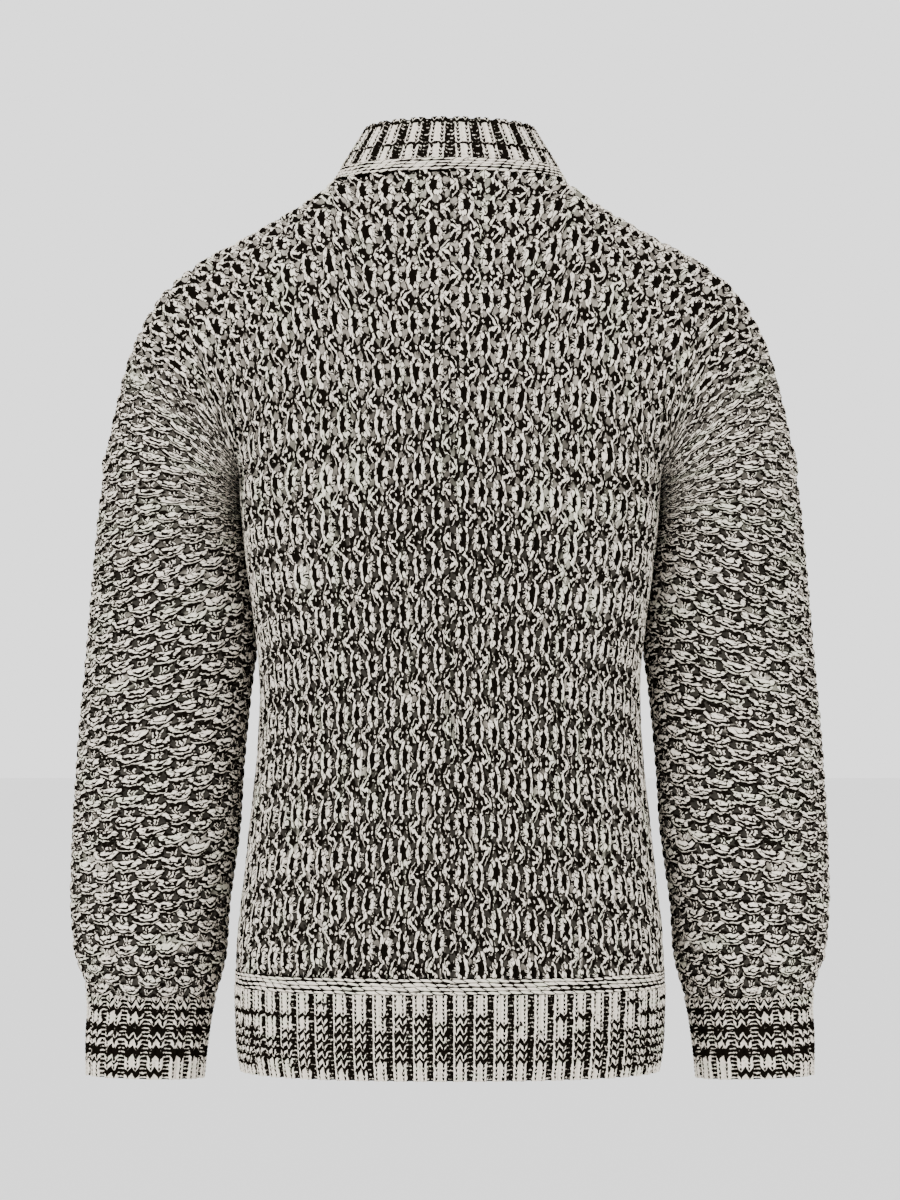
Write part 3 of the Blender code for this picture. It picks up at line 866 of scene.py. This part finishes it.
def chainPiece(name, node, point, end, look, material, up=False):
    rows, columns = chains["cords"] * chains["stepsPerCord"], look["chains"] * chains["stepsPerStitch"]
    points, share, around = ringGrid(point, 0, end, rows, columns)
    s = around * look["chains"]
    r = chains["cords"] * share
    relief = chains["rise"] * cordForm(s, r)
    ringPiece(name, node, points, np.stack([s, r], -1), relief, material, up)


yarn = {
    "cream": (0.860, 0.780, 0.665, 1.0),
    "creamWarm": (0.790, 0.765, 0.620, 1.0),
    "black": (0.0045, 0.0035, 0.0025, 1.0),
    "roughness": 0.92,
    "bump": 0.8,
    "bumpDistance": 0.0010,
    "hairs": 900.0,  # fibres in a metre
}


def newGroup(name, inputs, outputs):
    group = bpy.data.node_groups.new(name, "ShaderNodeTree")
    for label, kind in inputs:
        group.interface.new_socket(name=label, in_out="INPUT", socket_type=kind)
    for label, kind in outputs:
        group.interface.new_socket(name=label, in_out="OUTPUT", socket_type=kind)
    start = group.nodes.new("NodeGroupInput")
    end = group.nodes.new("NodeGroupOutput")
    Field.tree = group
    return group, start, end


def noiseField(vector, scale, detail=2.0, rough=0.5):
    node = Field.tree.nodes.new("ShaderNodeTexNoise")
    node.inputs["Scale"].default_value = scale
    node.inputs["Detail"].default_value = detail
    node.inputs["Roughness"].default_value = rough
    Field.tree.links.new(vector, node.inputs["Vector"])
    return Field(node.outputs["Fac"])


def vectorOf(x, y, z=0.0):
    node = Field.tree.nodes.new("ShaderNodeCombineXYZ")
    for socket, value in zip(node.inputs, (x, y, z)):
        if isinstance(value, Field):
            Field.tree.links.new(value.socket, socket)
        else:
            socket.default_value = value
    return node.outputs[0]


def splitVector(socket, count=2):
    node = Field.tree.nodes.new("ShaderNodeSeparateXYZ")
    Field.tree.links.new(socket, node.inputs[0])
    return [Field(output) for output in node.outputs][:count]


def grain(x, y, seed):  # smooth noise about 0, seldom past half a unit
    return (noiseField(vectorOf(x, y, seed), 1.0, 0.0) - 0.5) * 1.6


stitchOutputs = [("Light", "NodeSocketFloat"), ("Height", "NodeSocketFloat")]


def endGroup(group, end, light, height):
    group.links.new(light.socket, end.inputs["Light"])
    group.links.new(height.socket, end.inputs["Height"])
    return group


def tuckGroup():
    # the two tones of painted shade in the recesses, black low on the body and grey high over the shoulders
    values = ["Body From", "Painted Shade Low", "Painted Shade High"]
    group, start, end = newGroup(
        "tuckStitch",
        [("Plan", "NodeSocketVector")] + [(label, "NodeSocketFloat") for label in values],
        stitchOutputs,
    )
    s, r = splitVector(start.outputs["Plan"])
    bodyFrom, low, top = [Field(start.outputs[label]) for label in values]
    body = held((r - bodyFrom) / halves["turnRidges"])
    bentS = s + grain(s * 4.1, r * 3.3, 2.1) * 0.16
    bentR = r + grain(s * 4.3, r * 3.1, 8.4) * 0.26
    fuzz = grain(s * 5.3, r * 5.0, 1.3) * 0.8 + grain(s * 11.1, r * 9.8, 5.2) * 0.7
    fuzz = fuzz * (1 - 0.35 * body)
    ply = held(1.6 - sizeOf(grain(s * 2.1, r * 2.7, 4.4)) * 22)  # the black ply wanders over the cream
    plain = held((grain(s * 0.45, r * 0.5, 3.3) - 0.22) * 4)
    fuzz = fuzz - 0.5 * ply
    # painted shade in the recesses: grey over the shoulders, and black in uneven pools below them
    coordinates = group.nodes.new("ShaderNodeTexCoord")
    across, _, up = splitVector(coordinates.outputs["Object"], 3)
    shadePool = grain(across * 9, up * 26, 6.6)
    high = held((up + 0.26 + shadePool * 0.12) / 0.17)
    paintedRecessShade = (low + (top - low) * high) * (1 + grain(s * 1.1, r * 0.8, 9.1) * 1.1)
    light, raised = tuckLook(bentS, bentR, fuzz, plain, held(paintedRecessShade), body)
    return endGroup(group, end, light, raised * 0.8 + light * 0.2)


def ribGroup():
    labels = [f"Zigzag {k + 1}" for k in range(ribs["zigzags"])]
    values = ["Rib Edge", "Last Leg", "Rungs", "Dots", "Dark Rib"]
    group, start, end = newGroup(
        "ribStitch",
        [("Plan", "NodeSocketVector")]
        + [(label, "NodeSocketVector") for label in labels]
        + [(label, "NodeSocketFloat") for label in values],
        stitchOutputs,
    )
    s, r = splitVector(start.outputs["Plan"])
    edge, lastLeg, rungs, dots, darkRib = [Field(start.outputs[label]) for label in values]
    darker = held(1 - sizeOf(moduloOf(s, ribs["darkEvery"]) - darkRib) / ribs["darkHalf"])
    zigzags = []
    for k, label in enumerate(labels):
        at, half, patchy = splitVector(start.outputs[label], 3)
        there = held((grain(s * 0.3, at * 3.1, 2.2 + k) * 1.6 - patchy + 0.75 + darker * 0.8) * 8)
        zigzags.append((at, half * (1 + grain(s * 0.9, at * 2.3, 6.1) * 0.5), there))
    bentS = s + grain(s * 7, r * 0.9, 4.4) * 0.05
    bentR = r + grain(s * 3.1, r * 0.8, 7.2) * 0.30
    fuzz = grain(s * 13, r * 1.9, 1.7) * 0.7 + grain(s * 5, r * 0.7, 3.9) * 0.5
    light, raised = ribLook(bentS, bentR, fuzz, zigzags, edge, lastLeg * (1 - darker), rungs, dots)
    return endGroup(group, end, light, raised)


def cordGroup():
    group, start, end = newGroup("linkedChain", [("Plan", "NodeSocketVector")], stitchOutputs)
    s, r = splitVector(start.outputs["Plan"])
    bentR = r + grain(s * 0.35, r * 0.4, 2.8) * 0.5
    fuzz = grain(s * 2.3, r * 2.1, 1.7) * 1.1 - 0.08
    thick = 0.24 + grain(s * 0.3, r * 0.9, 5.5) * 0.5
    light, raised = cordLook(s, bentR, fuzz, thick)
    return endGroup(group, end, light, raised)


def mixNode(nodes, first=None, second=None):  # a colour mix: its inputs 6 and 7 are the two colours
    mix = nodes.new("ShaderNodeMix")
    mix.data_type = "RGBA"
    for socket, colour in ((6, first), (7, second)):
        if colour:
            mix.inputs[socket].default_value = colour
    return mix


def yarnGroup():
    # marled yarn: cream over black, and the hairs of its fibres
    group, start, end = newGroup(
        "marledYarn",
        stitchOutputs + [("Plan", "NodeSocketVector")],
        [("Color", "NodeSocketColor"), ("Height", "NodeSocketFloat")],
    )
    nodes, links = group.nodes, group.links
    coordinates = nodes.new("ShaderNodeTexCoord")
    hair = noiseField(coordinates.outputs["Object"], yarn["hairs"], 3.0, 0.7)
    s, r = splitVector(start.outputs["Plan"])
    warm = held((grain(s * 0.4, r * 0.5, 3.7) - 0.1) * 4)
    level = 0.80 + grain(s * 6, r * 8, 7.7) * 0.22 + hair * 0.22
    cream = mixNode(nodes, yarn["cream"], yarn["creamWarm"])
    shade = mixNode(nodes)
    shade.blend_type = "MULTIPLY"
    shade.inputs[0].default_value = 1.0
    marl = mixNode(nodes, yarn["black"])
    links.new(warm.socket, cream.inputs[0])
    links.new(cream.outputs[2], shade.inputs[6])
    links.new(vectorOf(level, level, level), shade.inputs[7])
    links.new(start.outputs["Light"], marl.inputs[0])
    links.new(shade.outputs[2], marl.inputs[7])
    links.new(marl.outputs[2], end.inputs["Color"])
    links.new((Field(start.outputs["Height"]) + hair * 0.15).socket, end.inputs["Height"])
    return group


def yarnMaterial(name, stitch, marled, settings=None):
    material = bpy.data.materials.new(name)
    material.use_nodes = True
    nodes, links = material.node_tree.nodes, material.node_tree.links
    shader = nodes["Principled BSDF"]
    shader.inputs["Roughness"].default_value = yarn["roughness"]
    shader.inputs["Specular IOR Level"].default_value = 0.0
    plan = nodes.new("ShaderNodeUVMap")
    plan.uv_map = "knitPlan"
    pattern = nodes.new("ShaderNodeGroup")
    pattern.node_tree = stitch
    for label, value in (settings or {}).items():
        pattern.inputs[label].default_value = value
    links.new(plan.outputs[0], pattern.inputs["Plan"])
    colour = nodes.new("ShaderNodeGroup")
    colour.node_tree = marled
    links.new(pattern.outputs["Light"], colour.inputs["Light"])
    links.new(pattern.outputs["Height"], colour.inputs["Height"])
    links.new(plan.outputs[0], colour.inputs["Plan"])
    bump = nodes.new("ShaderNodeBump")
    bump.inputs["Strength"].default_value = yarn["bump"]
    bump.inputs["Distance"].default_value = yarn["bumpDistance"]
    links.new(colour.outputs["Height"], bump.inputs["Height"])
    links.new(bump.outputs[0], shader.inputs["Normal"])
    links.new(colour.outputs["Color"], shader.inputs["Base Color"])
    return material


marled = yarnGroup()
knitLook = {"Body From": halves["bodyFrom"], "Painted Shade Low": 0.035, "Painted Shade High": 0.34}
knitMaterial = yarnMaterial("marledTuckKnit", tuckGroup(), marled, knitLook)
chainMaterial = yarnMaterial("linkedSeam", cordGroup(), marled)
ribStitch = ribGroup()


def ribMaterial(name, look, zigzags):
    settings = dict(look)
    settings.update({f"Zigzag {k + 1}": row for k, row in enumerate(zigzags)})
    return yarnMaterial(f"{name}Ribbing", ribStitch, marled, settings)


for hand in ("left", "right"):
    for part in ("back", "front", "sleeve"):
        knitPiece(part, hand, knitMaterial)
print("halves knitted")

# each ribbing has its counts, its height and its flat sizes in metres, and its look: how wide a rib is, past
# which the colour is painted shade, how much of it each zigzag leaves out, how light the rungs between ribs
# are against that shade, how thick the dots down the wales are, and where its darker ribs stand, with -30 for
# nowhere. A zigzag is a course from the edge up, half its width, and from 0 for whole to 1 for nearly none.
hem = {
    "chains": 110,
    "chainFlat": (0.88, 0.0145),
    "ribs": 60,
    "height": 0.063,
    "flat": (0.95, 0.075),
    "look": {"Rib Edge": 0.330, "Last Leg": 0.20, "Rungs": 0.42, "Dots": 0.055, "Dark Rib": 15},
    "zigzags": (
        (2.2, 0.55, 0.7),
        (4.3, 0.62, 0.3),
        (6.3, 0.64, 0),
        (8.2, 0.64, 0),
        (10.2, 0.64, 0.2),
        (12.2, 0.55, 0.85),
        (14.1, 0.62, 0.7),
        (17.0, 0.55, 1.0),
    ),
}
cuff = {
    "ribs": 16,
    "height": 0.0622,
    "flat": (0.27, 0.075),
    "look": {"Rib Edge": 0.345, "Last Leg": 0.11, "Rungs": 0.75, "Dots": 0.050, "Dark Rib": -30},
    "zigzags": (
        (1.0, 0.80, 0.6),
        (3.4, 0.40, 0.8),
        (6.0, 1.30, 0),
        (9.2, 0.50, 0),
        (11.6, 1.30, 0),
        (14.2, 0.40, 0.8),
        (16.2, 0.95, 0.3),
        (18.6, 0.40, 0.7),
    ),
}
collar = {
    "chains": 64,
    "chainFlat": (0.52, 0.013),
    "ribs": 24,
    "height": 0.034,
    "flat": (0.46, 0.045),
    "look": {"Rib Edge": 0.30, "Last Leg": 0.15, "Rungs": 0.38, "Dots": 0.062, "Dark Rib": -30},
    "zigzags": (
        (9.4, 0.55, 0),
        (3.2, 0.40, 0.2),
        (10.9, 0.60, 0.3),
    ),
}
hemMaterial = ribMaterial("hem", hem["look"], hem["zigzags"])
cuffMaterial = ribMaterial("cuff", cuff["look"], cuff["zigzags"])
collarMaterial = ribMaterial("collar", collar["look"], collar["zigzags"])

hemHeight = form["hemSeamZ"] - form["hemEdgeZ"]
hemStart = (form["hemSeamZ"] - form["hemRibZ"]) / hemHeight
chainPiece("hem_linking", "hem_chain", hemPoint, hemStart, hem, chainMaterial)
ribPiece("hem_ribbing", "hem_rib", hemPoint, hemStart, 1, hem, hemMaterial)
for hand in ("left", "right"):
    right = hand == "right"
    ribPiece(f"cuff_ribbing_{hand}", f"cuff_{hand}", cuffPoint, 0, 1, cuff, cuffMaterial, right=right)
collarStart = form["neckChainHeight"] / (form["collarTopBackZ"] - form["neckBackZ"])
chainPiece("neck_linking", "neck_chain", collarPoint, collarStart, collar, chainMaterial, up=True)
ribPiece("collar_ribbing", "collar", collarPoint, collarStart, 1, collar, collarMaterial, up=True)
print("ribs and seams made")

# the floor, the lights and the camera
studio = {
    "floorZ": -1.45,
    "floorHalf": 30,
    "floorColor": (0.86, 0.86, 0.86, 1),
    "daylight": 1.9,
    "aimZ": -0.3,
    "cameraDistance": 4.0,
    "cameraZ": -0.315,
    "frameHeight": 0.9,
    "sensor": 36,
}
softLights = {  # place, width in metres and watts
    "keyLight": ((1.6, 2.6, 1.8), 1.2, 100),
    "fillLight": ((-2.2, 2.2, 0.6), 1.8, 24),
    "frontLight": ((0.8, -3.0, 1.6), 1.8, 40),
}

floorMesh = bpy.data.meshes.new("floor")
far = studio["floorHalf"]
floorMesh.from_pydata([(-far, -far, 0), (far, -far, 0), (far, far, 0), (-far, far, 0)], [], [(0, 1, 2, 3)])
floor = bpy.data.objects.new("floor", floorMesh)
floor.location.z = studio["floorZ"]
floorPaint = bpy.data.materials.new("paleFloor")
floorPaint.use_nodes = True
floorShader = floorPaint.node_tree.nodes["Principled BSDF"]
floorShader.inputs["Base Color"].default_value = studio["floorColor"]
floorShader.inputs["Roughness"].default_value = 0.9
floorMesh.materials.append(floorPaint)
bpy.context.collection.objects.link(floor)

world = bpy.data.worlds.new("studio")
world.use_nodes = True
world.node_tree.nodes["Background"].inputs["Color"].default_value = (1, 1, 1, 1)
world.node_tree.nodes["Background"].inputs["Strength"].default_value = studio["daylight"]
bpy.context.scene.world = world

for name, (place, width, watts) in softLights.items():
    light = bpy.data.lights.new(name, "AREA")
    light.size = width
    light.energy = watts
    lamp = bpy.data.objects.new(name, light)
    lamp.location = place
    aim = np.array([0, 0, studio["aimZ"]]) - np.array(place)
    tilt = math.atan2(math.hypot(aim[0], aim[1]), -aim[2])
    lamp.rotation_euler = (tilt, 0, math.atan2(aim[1], aim[0]) - math.pi / 2)
    bpy.context.collection.objects.link(lamp)

cameraData = bpy.data.cameras.new("camera")
cameraData.sensor_fit = "VERTICAL"
cameraData.sensor_height = studio["sensor"]
cameraData.lens = studio["sensor"] * studio["cameraDistance"] / studio["frameHeight"]
cameraData.clip_end = 100
camera = bpy.data.objects.new("camera", cameraData)
camera.location = (0, studio["cameraDistance"], studio["cameraZ"])
camera.rotation_euler = (math.pi / 2, 0, math.pi)
bpy.context.collection.objects.link(camera)
bpy.context.scene.camera = camera
print("studio set")
